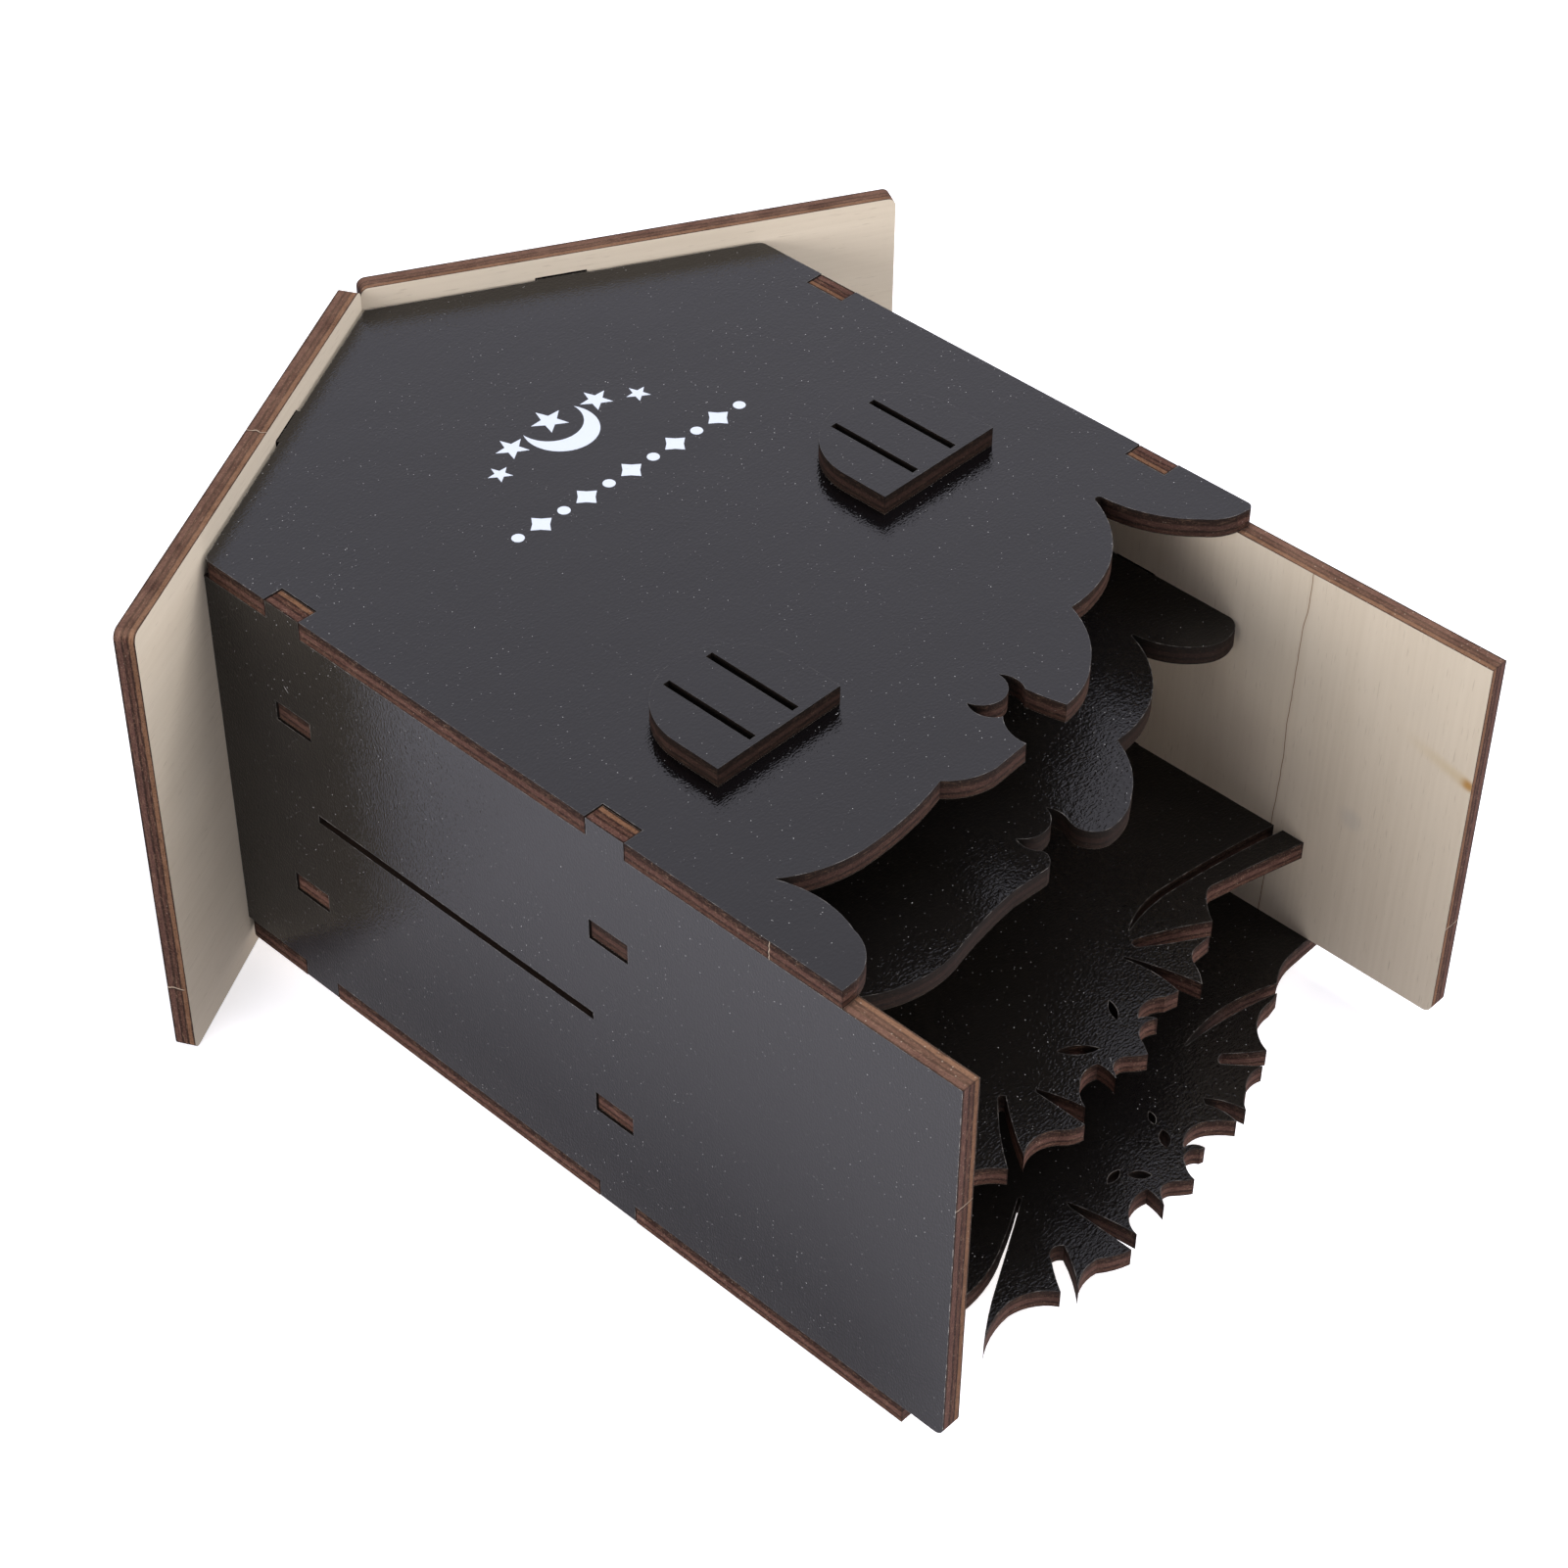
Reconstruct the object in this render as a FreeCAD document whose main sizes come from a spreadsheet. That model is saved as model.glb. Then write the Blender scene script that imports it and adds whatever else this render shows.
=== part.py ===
import FreeCAD, Part
import math
import os
import Sketcher

# Bat box of flat laser-cut plywood panels, joined by tabs and slots.
# Sizes are in millimetres. X runs to the right as seen from the front, Y to the back and Z up.
# The walls stand on Z = 0, and the middle of the box is on X = 0 and Y = 0.

os.makedirs("parts", exist_ok=True)
doc = FreeCAD.newDocument("BatBox")
Vector = FreeCAD.Vector

# Driving sizes
SIZES = [
    ("ply", 5.0),                      # thickness of every panel
    ("body_width", 176.0),             # over the outer faces of the side walls
    ("body_depth", 114.5),             # front face to rear face
    ("eave_height", 223.3),            # walls' feet to the roof's underside at the walls' outer faces
    ("gable_rise", 47.5),              # eave to ridge, along the roof's underside
    ("eave_radius", 2.5),              # rounding of the gables' eave corners
    ("foot_radius", 2.5),              # rounding of the walls' lower rear corners
    ("front_chamber", 24.0),           # clear depth between the front and the front baffle
    ("rear_chamber", 23.3),            # clear depth between the rear baffle and the back
    ("baffle_drop", 11.3),             # eaves to the baffles' top edges
    ("upper_tab_drop", 32.3),          # eaves to the underside of the upper row of tabs
    ("lower_tab_height", 91.0),        # underside of the lower row of tabs
    ("tab_length", 11.0),              # height of a wall or baffle tab
    ("fit_gap", 0.25),                 # clearance around a tab in its slot
    ("tab_recess", 0.2),               # how far a wall or roof tab's end stays inside the outer face
    ("baffle_tab_recess", 0.5),
    ("vent_width", 2.2),               # long thin vent in each side wall
    ("roof_tab_distance", 49.4),       # ridge to the middle of a roof tab, down the slope
    ("roof_tab_length", 12.5),
    ("roof_seat_gap", 0.9),            # reveal between a gable's slope and the roof
    ("eave_overhang", 35.5),           # roof beyond the side walls, down the slope
    ("gable_overhang", 5.5),           # roof beyond the front and the back
    ("roof_radius", 2.2),              # rounding of the roof panels' corners
    ("front_hem_height", 29.5),        # datum lines that the cut-out lower edges are drawn from
    ("front_baffle_hem_height", 29.5),
    ("rear_baffle_hem_height", 19.7),
    ("back_hem_height", 4.3),
    ("window_width", 36.4),
    ("window_straight", 12.4),         # straight side of a window under its arch
    ("window_slot_width", 1.9),
    ("window_slot_spacing", 12.7),
    ("window_slot_sill", 1.6),         # window's lower edge to its slots
    ("window_slot_rim", 2.3),          # slots to the arch
    ("left_window_inset", 43.2),       # wall's outer face to the middle of the window
    ("left_window_height", 89.0),
    ("right_window_inset", 42.1),
    ("right_window_height", 126.2),
    ("hanger_drop", 34.8),             # ridge to the middle of the keyhole's round head
    ("hanger_head", 9.0),
    ("hanger_slot", 4.5),
    ("hanger_travel", 8.0),            # head to the resting place of the screw
]

sheet = doc.addObject("Spreadsheet::Sheet", "Sizes")
for row, (alias, value) in enumerate(SIZES, start=1):
    sheet.set("A%d" % row, alias)
    sheet.set("B%d" % row, str(value))
    sheet.setAlias("B%d" % row, alias)
doc.recompute()


def size(alias):
    return float(sheet.get(alias))


# Values that several panels share
ply = size("ply")
half_width = size("body_width") / 2
inner_half_width = half_width - ply
half_depth = size("body_depth") / 2
ridge_height = size("eave_height") + size("gable_rise")
pitch = math.atan2(size("gable_rise"), half_width)
slope_drop = size("roof_seat_gap") / math.cos(pitch)
tab_rows = ("(Sizes.eave_height - Sizes.upper_tab_drop)", "Sizes.lower_tab_height")

# The lower edges are drawn for a box of this half width and keep their proportions on any other
DRAWN_HALF_WIDTH = 88.0
DRAWN_INNER_HALF_WIDTH = 83.0


# Helpers for bodies, sketches and features
def new_body(label):
    body = doc.addObject("PartDesign::Body", label)
    body.Label = label
    return body


def new_sketch(body, name):
    sheet_plane = [item for item in body.Origin.OriginFeatures if item.Role == "XY_Plane"][0]
    sketch = body.newObject("Sketcher::SketchObject", name)
    sketch.AttachmentSupport = [(sheet_plane, "")]
    sketch.MapMode = "FlatFace"
    return sketch


def add_pad(body, sketch, name):
    pad = body.newObject("PartDesign::Pad", name)
    pad.Profile = sketch
    pad.Length = ply
    pad.setExpression("Length", "Sizes.ply")
    doc.recompute()
    return pad


def add_cut(body, sketch, name):
    pocket = body.newObject("PartDesign::Pocket", name)
    pocket.Profile = sketch
    pocket.Type = "ThroughAll"
    pocket.Reversed = True
    before = body.Shape.Volume
    doc.recompute()
    if body.Shape.Volume >= before:
        raise RuntimeError("%s removes nothing" % name)
    return pocket


def add_rectangle(sketch, left, bottom, width, height):
    """Rectangle whose place and size are the four expressions."""
    x, y, w, h = (float(sketch.evalExpression(text)) for text in (left, bottom, width, height))
    corners = [Vector(x, y), Vector(x + w, y), Vector(x + w, y + h), Vector(x, y + h)]
    first = sketch.GeometryCount
    for index in range(4):
        sketch.addGeometry(Part.LineSegment(corners[index], corners[(index + 1) % 4]), False)
    for index in range(4):
        sketch.addConstraint(
            Sketcher.Constraint("Coincident", first + index, 2, first + (index + 1) % 4, 1))
    for index, direction in enumerate(("Horizontal", "Vertical", "Horizontal", "Vertical")):
        sketch.addConstraint(Sketcher.Constraint(direction, first + index))
    dimensions = (
        (Sketcher.Constraint("DistanceX", -1, 1, first, 1, x), left),
        (Sketcher.Constraint("DistanceY", -1, 1, first, 1, y), bottom),
        (Sketcher.Constraint("DistanceX", first, 1, first, 2, w), width),
        (Sketcher.Constraint("DistanceY", first + 1, 1, first + 1, 2, h), height),
    )
    for constraint, text in dimensions:
        index = sketch.addConstraint(constraint)
        sketch.setExpression("Constraints[%d]" % index, text)


def draw_outline(sketch, start, steps):
    """Closed outline. A step of one point is a line to it, of two an arc through the first."""
    pen = Vector(*start)
    for step in steps + [[start]]:
        points = [Vector(*point) for point in step]
        if len(points) == 2:
            sketch.addGeometry(Part.Arc(pen, points[0], points[1]), False)
        elif pen.distanceToPoint(points[0]) > 1e-6:
            sketch.addGeometry(Part.LineSegment(pen, points[0]), False)
        pen = points[-1]
    for index in range(sketch.GeometryCount):
        sketch.addConstraint(Sketcher.Constraint("Block", index))


def round_corners(body, feature, corners, radius_alias, name):
    """Rounds the edges that stand on the given corners of a padded panel."""
    edges = []
    for number, edge in enumerate(feature.Shape.Edges, start=1):
        ends = [vertex.Point for vertex in edge.Vertexes]
        if len(ends) == 2 and abs(ends[0].z - ends[1].z) > ply / 2:
            if any(math.hypot(ends[0].x - x, ends[0].y - y) < 1e-3 for x, y in corners):
                edges.append("Edge%d" % number)
    if len(edges) != len(corners):
        raise RuntimeError("%s: %d corners found" % (name, len(edges)))
    fillet = body.newObject("PartDesign::Fillet", name)
    fillet.Base = (feature, edges)
    fillet.Radius = size(radius_alias)
    fillet.setExpression("Radius", "Sizes.%s" % radius_alias)
    doc.recompute()
    return fillet


# Cut-out lower edges
# Each is listed from left to right, as x from the middle line and height over its datum line.
def hem_steps(drawn, scale, datum):
    """Turns a drawn lower edge into points of the panel."""
    place = lambda x, z: (x * scale, datum + z * scale)
    return [[place(*step[i:i + 2]) for i in range(0, len(step), 2)] for step in drawn]


# Two wings with ears between them, cut up into the front
FRONT_HEM = [
    (-88.0, 1.5), (-84.0, 1.6),
    (-78.2, 4.3, -74.2, 11.2), (-72.2, 21.5, -74.6, 32.5),          # lobe up to the left wing tip
    (-67.0, 28.1, -56.0, 25.5), (-43.0, 25.9, -30.0, 28.3),         # left wing, outer scallop
    (-25.5, 24.6, -19.0, 22.7), (-9.0, 23.3),                       # left wing, inner scallop
    (-8.4, 28.8, -5.9, 32.4),                                       # left cheek
    (-8.8, 36.0, -7.9, 40.7),                                       # left ear
    (-5.5, 37.2, -2.0, 36.0), (1.9, 37.6, 3.8, 42.1),               # brow
    (5.2, 38.2, 4.1, 34.8),                                         # right ear
    (4.9, 30.5, 6.3, 25.3),                                         # right cheek
    (13.3, 26.6, 20.0, 30.3), (27.2, 37.0, 31.8, 45.6),             # right wing, inner scallop
    (41.0, 46.4, 50.0, 49.8), (58.5, 56.6, 64.6, 66.2),             # right wing, outer scallop
    (65.6, 67.0, 66.6, 65.9),                                       # right wing tip
    (69.4, 54.3, 76.0, 44.7), (80.3, 41.0, 85.3, 39.7),             # right lobe
    (87.3, 39.9, 88.0, 41.2),
]

# The same theme on the front baffle
FRONT_BAFFLE_HEM = [
    (-83.0, 4.5), (-79.0, 4.2),
    (-72.2, 7.6, -70.0, 15.0), (-69.9, 19.0, -71.2, 23.0),          # left lobe
    (-66.5, 18.0, -60.0, 13.9), (-52.0, 11.5, -42.5, 11.6),         # left wing
    (-31.0, 13.9, -20.0, 15.1), (-10.0, 14.5),
    (-7.8, 15.6, -6.5, 17.6), (-6.6, 18.9),                         # left cheek
    (-8.2, 22.3, -7.6, 25.3),                                       # left ear
    (-4.3, 22.7, -1.0, 22.4), (2.3, 23.9, 4.4, 27.2),               # brow
    (5.3, 24.0, 4.7, 21.2),                                         # right ear
    (4.1, 18.3, 5.3, 15.2), (7.2, 13.6, 10.0, 13.0),                # right cheek
    (15.3, 13.9, 20.0, 16.4), (26.8, 21.9, 32.0, 30.3),             # right wing, inner scallop
    (41.5, 31.2, 50.0, 35.0), (57.0, 41.5, 62.0, 50.7),             # right wing, outer scallop
    (62.5, 51.2, 62.8, 50.6),                                       # right wing tip
    (66.0, 41.5, 71.0, 36.4), (75.2, 34.8, 79.3, 35.3), (81.8, 36.7, 83.0, 39.0),
]

# A flying bat with slits between its fingers, free of the panel along the top of its wings
REAR_BAFFLE_HEM = [
    (-83.0, 9.5),
    (-72.0, 16.2, -59.3, 18.0), (-50.3, 18.8, -41.3, 21.8), (-34.3, 24.7, -28.6, 27.6),
    (-28.2, 27.0, -28.9, 26.6),                                     # left crescent, inner end
    (-41.3, 20.1, -51.3, 15.0), (-58.3, 11.0, -66.5, 5.3),          # top of the left wing
    (-58.8, 9.0, -52.3, 9.9), (-46.8, 8.0, -42.5, 3.7),             # left wing, outer scallop
    (-36.6, 10.9, -29.0, 18.3),                                     # left finger slit
    (-27.8, 18.9, -26.9, 17.9), (-32.6, 10.8, -37.4, 3.6),
    (-31.5, 5.4, -26.5, 3.3), (-24.3, 1.3, -21.3, 0.2),             # left wing, inner scallop
    (-21.3, 13.8), (-20.7, 14.7), (-18.6, 9.0, -17.3, 3.4),         # left body slit
    (-16.0, 5.9, -13.0, 8.5), (-9.5, 10.3, -5.5, 9.8),
    (-5.4, 7.0, -6.2, 4.1),                                         # left foot
    (-5.0, 5.2), (-2.0, 7.5, 1.0, 6.3), (2.7, 4.8, 4.4, 3.7),       # tail
    (6.4, 6.8), (9.8, 10.1, 14.4, 9.1),                             # right foot
    (13.4, 11.0, 11.5, 12.3), (16.5, 14.3, 20.8, 12.2), (24.4, 11.2),
    (25.1, 17.0, 23.7, 26.8), (24.3, 27.1), (27.6, 17.8, 29.8, 8.8),  # right body slit
    (32.0, 11.3, 33.6, 14.0), (36.0, 16.6, 39.0, 17.2), (43.0, 17.2),
    (35.6, 21.8, 28.7, 26.8), (28.9, 28.4, 30.6, 28.7),             # right finger slit
    (39.6, 24.4, 47.3, 19.8),
    (50.4, 23.8, 54.0, 26.8), (55.6, 27.3, 57.4, 27.1), (70.0, 24.3, 83.0, 21.0),
    (83.0, 27.2),
    (66.0, 30.6, 50.0, 32.8), (41.0, 33.1, 31.2, 31.4),             # top of the right wing
    (38.0, 34.3, 46.0, 35.2), (64.0, 33.2, 83.0, 29.8),             # right crescent
]
REAR_BAFFLE_LEAVES = [(-9.0, 18.7, -1.6, 12.4, 2.8), (7.7, 15.2, 11.3, 20.6, 1.8)]

BACK_HEM = [
    (-88.0, 7.0), (-84.0, 7.0),
    (-71.4, 14.6, -57.2, 17.4), (-48.4, 18.2, -39.6, 21.4), (-32.8, 24.6, -27.3, 27.6),
    (-26.9, 27.0, -27.6, 26.4),                                     # left crescent, inner end
    (-38.6, 20.4, -49.4, 14.6), (-56.8, 10.4, -65.0, 4.7),          # top of the left wing
    (-57.5, 8.6, -51.0, 9.5), (-45.5, 7.6, -41.2, 3.3),             # left wing, outer scallop
    (-38.6, 7.1, -35.6, 10.8),                                      # left finger slit
    (-33.6, 12.5, -30.7, 11.2), (-34.0, 5.8, -38.4, 0.6),
    (-33.5, 3.5, -28.5, 3.6), (-25.5, 1.6, -21.3, -0.1),            # left wing, inner scallop
    (-21.3, 17.5), (-20.6, 19.2), (-18.5, 11.0, -17.1, 1.9),        # left body slit
    (-16.2, 4.4, -14.8, 6.0), (-10.0, 8.9, -5.2, 8.6),
    (-5.5, 6.0, -6.4, 2.9),                                         # left foot
    (-4.6, 5.2), (-1.9, 6.8, 0.6, 5.9), (2.5, 4.2, 4.3, 2.9),       # tail
    (5.1, 5.4, 6.6, 7.4),
    (9.4, 9.3, 12.2, 7.6), (13.4, 7.2),                             # right foot
    (12.6, 9.4, 10.2, 10.7), (16.0, 13.2, 20.5, 11.4), (22.8, 9.3, 24.6, 7.0),
    (25.0, 11.0, 23.8, 15.4), (25.0, 17.0), (27.5, 13.0, 28.9, 7.7),  # right body slit
    (31.0, 9.9, 33.6, 11.3), (37.6, 13.7, 42.4, 13.4),
    (39.1, 17.3, 36.2, 20.8), (37.2, 22.3, 39.1, 22.5),             # right finger slit
    (43.2, 18.7, 47.0, 15.8),
    (48.6, 19.1, 51.3, 22.0), (55.5, 24.4, 60.0, 24.9), (63.6, 25.6),
    (50.0, 28.8, 35.4, 30.2), (35.2, 30.5, 35.6, 30.7),             # top of the right wing
    (44.0, 31.9, 52.0, 31.7), (59.6, 30.0, 66.0, 27.6),             # right crescent
    (71.0, 30.2, 77.0, 31.3), (88.0, 31.5),
]
BACK_LEAVES = [
    (-10.2, 16.0, -5.2, 16.7, 2.0),
    (-5.0, 14.5, -1.4, 10.5, 2.4),
    (7.4, 13.3, 11.0, 17.5, 2.6),
    (11.0, 19.8, 13.2, 23.2, 1.6),
]


def cut_leaves(body, leaves, scale, datum):
    """Small pointed leaves: two arcs between the same two tips, each with its width."""
    sketch = new_sketch(body, body.Label + "_leaf_sketch")
    for x0, z0, x1, z1, width in leaves:
        tips = [Vector(x0 * scale, datum + z0 * scale), Vector(x1 * scale, datum + z1 * scale)]
        along = (tips[1] - tips[0]).normalize()
        across = Vector(-along.y, along.x) * (width * scale / 2)
        middle = (tips[0] + tips[1]) * 0.5
        for side in (1, -1):
            sketch.addGeometry(Part.Arc(tips[0], middle + across * side, tips[1]), False)
    for index in range(sketch.GeometryCount):
        sketch.addConstraint(Sketcher.Constraint("Block", index))
    add_cut(body, sketch, body.Label + "_leaves")


# Gabled panels: the front and the back
def on_slope(side, distance, lift):
    """Point of a gable: down the roof's underside from the ridge, and lifted square to it."""
    x = distance * math.cos(pitch) + lift * math.sin(pitch)
    return (side * x, ridge_height - distance * math.sin(pitch) + lift * math.cos(pitch))


def gable_steps():
    """Right wall edge, right slope with its tab, ridge, left slope with its tab, left edge."""
    gap = size("roof_seat_gap")
    tab_start = size("roof_tab_distance") - size("roof_tab_length") / 2
    tab_end = size("roof_tab_distance") + size("roof_tab_length") / 2
    tab_top = ply - size("tab_recess")
    right = [(half_width, size("eave_height") - slope_drop)]
    right += [on_slope(1, tab_end, -gap), on_slope(1, tab_end, tab_top)]
    right += [on_slope(1, tab_start, tab_top), on_slope(1, tab_start, -gap)]
    left = [(-x, z) for x, z in reversed(right)]
    return [[point] for point in right + [(0, ridge_height - slope_drop)] + left]


def make_gable(label, drawn_hem, datum_alias):
    """Gabled panel with its lower edge cut out and notches for the side walls' tabs."""
    body = new_body(label)
    hem = hem_steps(drawn_hem, half_width / DRAWN_HALF_WIDTH, size(datum_alias))
    outline = new_sketch(body, label + "_outline")
    draw_outline(outline, hem[0][0], hem[1:] + gable_steps())
    plate = add_pad(body, outline, label + "_plate")
    eave = size("eave_height") - slope_drop
    corners = [(half_width, eave), (-half_width, eave)]
    round_corners(body, plate, corners, "eave_radius", label + "_eaves")
    notches = new_sketch(body, label + "_notch_sketch")
    inward = "(Sizes.body_width / 2 - Sizes.ply - Sizes.fit_gap)"
    for left in (inward, "-%s - Sizes.ply * 2" % inward):
        for row in tab_rows:
            add_rectangle(notches, left, row + " - Sizes.fit_gap",
                          "Sizes.ply * 2", "Sizes.tab_length + 2 * Sizes.fit_gap")
    add_cut(body, notches, label + "_notches")
    return body


def stand_across(body, y_text):
    """Stands a panel up across the box, with its drawn face to the back of the place given."""
    body.Placement = FreeCAD.Placement(Vector(), FreeCAD.Rotation(Vector(1, 0, 0), 90))
    body.setExpression("Placement.Base.y", y_text)


def make_front():
    body = make_gable("front_panel", FRONT_HEM, "front_hem_height")
    stand_across(body, "-Sizes.body_depth / 2 + Sizes.ply")
    return body


def make_back():
    body = make_gable("back_panel", BACK_HEM, "back_hem_height")
    cut_leaves(body, BACK_LEAVES, half_width / DRAWN_HALF_WIDTH, size("back_hem_height"))
    cut_keyhole(body)
    stand_across(body, "Sizes.body_depth / 2")
    return body


def cut_keyhole(body):
    """Keyhole that hangs the box on one screw: the head goes in below and slides up the slot."""
    head = size("hanger_head") / 2
    slot = size("hanger_slot") / 2
    low = ridge_height - size("hanger_drop")
    high = low + size("hanger_travel")
    mouth = low + math.sqrt(head ** 2 - slot ** 2)
    sketch = new_sketch(body, "back_panel_keyhole_sketch")
    draw_outline(sketch, (slot, mouth),
                 [[(slot, high)], [(0, high + slot), (-slot, high)], [(-slot, mouth)],
                  [(0, low - head), (slot, mouth)]])
    add_cut(body, sketch, "back_panel_keyhole")


# Side walls
def make_side(label, x_text):
    """Wall with tabs into the front and back, slots for the baffles' tabs and a vent."""
    body = new_body(label)
    outline = new_sketch(body, label + "_outline")
    add_rectangle(outline, "Sizes.ply", "0", "Sizes.body_depth - 2 * Sizes.ply", "Sizes.eave_height")
    plate = add_pad(body, outline, label + "_plate")
    round_corners(body, plate, [(2 * half_depth - ply, 0)], "foot_radius", label + "_foot")
    tabs = new_sketch(body, label + "_tab_sketch")
    for left in ("Sizes.tab_recess", "Sizes.body_depth - Sizes.ply * 2"):
        for row in tab_rows:
            add_rectangle(tabs, left, row, "Sizes.ply * 2 - Sizes.tab_recess", "Sizes.tab_length")
    add_pad(body, tabs, label + "_tabs")
    slots = new_sketch(body, label + "_slot_sketch")
    baffle_fronts = ("Sizes.ply + Sizes.front_chamber",
                     "Sizes.body_depth - Sizes.rear_chamber - 2 * Sizes.ply")
    for front in baffle_fronts:
        for row in tab_rows:
            add_rectangle(slots, front + " - Sizes.fit_gap", row + " - Sizes.fit_gap",
                          "Sizes.ply + 2 * Sizes.fit_gap", "Sizes.tab_length + 2 * Sizes.fit_gap")
    add_cut(body, slots, label + "_slots")
    vent = new_sketch(body, label + "_vent_sketch")
    vent_foot = "(Sizes.lower_tab_height + Sizes.tab_length)"
    add_rectangle(vent, "Sizes.body_depth / 2 - Sizes.vent_width / 2", vent_foot,
                  "Sizes.vent_width", "%s - %s" % (tab_rows[0], vent_foot))
    add_cut(body, vent, label + "_vent")
    body.Placement = FreeCAD.Placement(Vector(), FreeCAD.Rotation(Vector(1, 1, 1), 120))
    body.setExpression("Placement.Base.x", x_text)
    body.setExpression("Placement.Base.y", "-Sizes.body_depth / 2")
    return body


# Baffles
def make_baffle(label, drawn_hem, datum_alias, y_text):
    """Partition between the side walls, held by two tabs on each side."""
    body = new_body(label)
    hem = hem_steps(drawn_hem, inner_half_width / DRAWN_INNER_HALF_WIDTH, size(datum_alias))
    top = size("eave_height") - size("baffle_drop")
    outline = new_sketch(body, label + "_outline")
    draw_outline(outline, hem[0][0], hem[1:] + [[(inner_half_width, top)], [(-inner_half_width, top)]])
    add_pad(body, outline, label + "_plate")
    tabs = new_sketch(body, label + "_tab_sketch")
    root = "(Sizes.body_width / 2 - Sizes.ply * 2)"
    reach = "(Sizes.ply * 2 - Sizes.baffle_tab_recess)"
    for left in (root, "-%s - %s" % (root, reach)):
        for row in tab_rows:
            add_rectangle(tabs, left, row, reach, "Sizes.tab_length")
    add_pad(body, tabs, label + "_tabs")
    stand_across(body, y_text)
    return body


def make_front_baffle():
    return make_baffle("front_baffle", FRONT_BAFFLE_HEM, "front_baffle_hem_height",
                       "-Sizes.body_depth / 2 + Sizes.front_chamber + 2 * Sizes.ply")


def make_rear_baffle():
    body = make_baffle("rear_baffle", REAR_BAFFLE_HEM, "rear_baffle_hem_height",
                       "Sizes.body_depth / 2 - Sizes.rear_chamber - Sizes.ply")
    scale = inner_half_width / DRAWN_INNER_HALF_WIDTH
    cut_leaves(body, REAR_BAFFLE_LEAVES, scale, size("rear_baffle_hem_height"))
    return body


# Roof panels
def make_roof(label, side):
    """Panel from the ridge down to the eave, with a slot for each gable's tab."""
    body = new_body(label)
    width = "(Sizes.body_depth + 2 * Sizes.gable_overhang)"
    slope = "(sqrt((Sizes.body_width / 2) ^ 2 + Sizes.gable_rise ^ 2) + Sizes.eave_overhang)"
    outline = new_sketch(body, label + "_outline")
    add_rectangle(outline, "-%s / 2" % width, "0", width, slope)
    plate = add_pad(body, outline, label + "_plate")
    half_run = half_depth + size("gable_overhang")
    reach = math.hypot(half_width, size("gable_rise")) + size("eave_overhang")
    corners = [(x, y) for x in (-half_run, half_run) for y in (0, reach)]
    round_corners(body, plate, corners, "roof_radius", label + "_corners")
    slots = new_sketch(body, label + "_slot_sketch")
    near_ridge = "Sizes.roof_tab_distance - Sizes.roof_tab_length / 2 - Sizes.fit_gap"
    for left in ("-Sizes.body_depth / 2 - Sizes.fit_gap",
                 "Sizes.body_depth / 2 - Sizes.ply - Sizes.fit_gap"):
        add_rectangle(slots, left, near_ridge,
                      "Sizes.ply + 2 * Sizes.fit_gap", "Sizes.roof_tab_length + 2 * Sizes.fit_gap")
    add_cut(body, slots, label + "_slots")
    tilt = FreeCAD.Rotation(Vector(0, 1, 0), side * math.degrees(pitch))
    turn = FreeCAD.Rotation(Vector(0, 0, 1), -side * 90)
    body.Placement = FreeCAD.Placement(Vector(), tilt.multiply(turn))
    body.setExpression("Placement.Base.z", "Sizes.eave_height + Sizes.gable_rise")
    return body


# Windows
def make_window(label, x_text, z_text):
    """Arched plate with two slots, glued on the front."""
    body = new_body(label)
    radius = size("window_width") / 2
    spring = size("window_straight")
    outline = new_sketch(body, label + "_outline")
    draw_outline(outline, (-radius, 0),
                 [[(radius, 0)], [(radius, spring)], [(0, spring + radius), (-radius, spring)]])
    add_pad(body, outline, label + "_plate")
    slots = new_sketch(body, label + "_slot_sketch")
    half_slot = "Sizes.window_slot_width / 2"
    outer = "(Sizes.window_slot_spacing / 2 + %s)" % half_slot
    arch = "sqrt((Sizes.window_width / 2) ^ 2 - %s ^ 2)" % outer
    length = "Sizes.window_straight + %s - Sizes.window_slot_sill - Sizes.window_slot_rim" % arch
    for middle in ("Sizes.window_slot_spacing / 2", "-Sizes.window_slot_spacing / 2"):
        add_rectangle(slots, "%s - %s" % (middle, half_slot), "Sizes.window_slot_sill",
                      "Sizes.window_slot_width", length)
    add_cut(body, slots, label + "_slots")
    stand_across(body, "-Sizes.body_depth / 2")
    body.setExpression("Placement.Base.x", x_text)
    body.setExpression("Placement.Base.z", z_text)
    return body


# The assembly
bodies = [
    make_front(),
    make_back(),
    make_side("left_side", "-Sizes.body_width / 2"),
    make_side("right_side", "Sizes.body_width / 2 - Sizes.ply"),
    make_front_baffle(),
    make_rear_baffle(),
    make_roof("roof_left", -1),
    make_roof("roof_right", 1),
    make_window("left_window", "Sizes.left_window_inset - Sizes.body_width / 2",
                "Sizes.left_window_height"),
    make_window("right_window", "Sizes.body_width / 2 - Sizes.right_window_inset",
                "Sizes.right_window_height"),
]
doc.recompute()

# Every feature and shape is checked before anything is written
for item in doc.Objects:
    if "Invalid" in item.State or "Error" in item.State:
        raise RuntimeError("%s failed: %s" % (item.Label, item.State))
for body in bodies:
    shape = body.Shape
    if shape.isNull() or not shape.isValid() or len(shape.Solids) != 1:
        raise RuntimeError("%s is not one valid solid" % body.Label)

for body in bodies:
    body.Shape.exportStep(os.path.join("parts", body.Label + ".step"))
    box = body.Shape.BoundBox
    print("%-14s volume %9.0f  x %7.2f %7.2f  y %7.2f %7.2f  z %7.2f %7.2f" % (
        body.Label, body.Shape.Volume, box.XMin, box.XMax, box.YMin, box.YMax, box.ZMin, box.ZMax))
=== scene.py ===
import math

import bmesh
import bpy
from mathutils import Matrix, Vector


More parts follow.
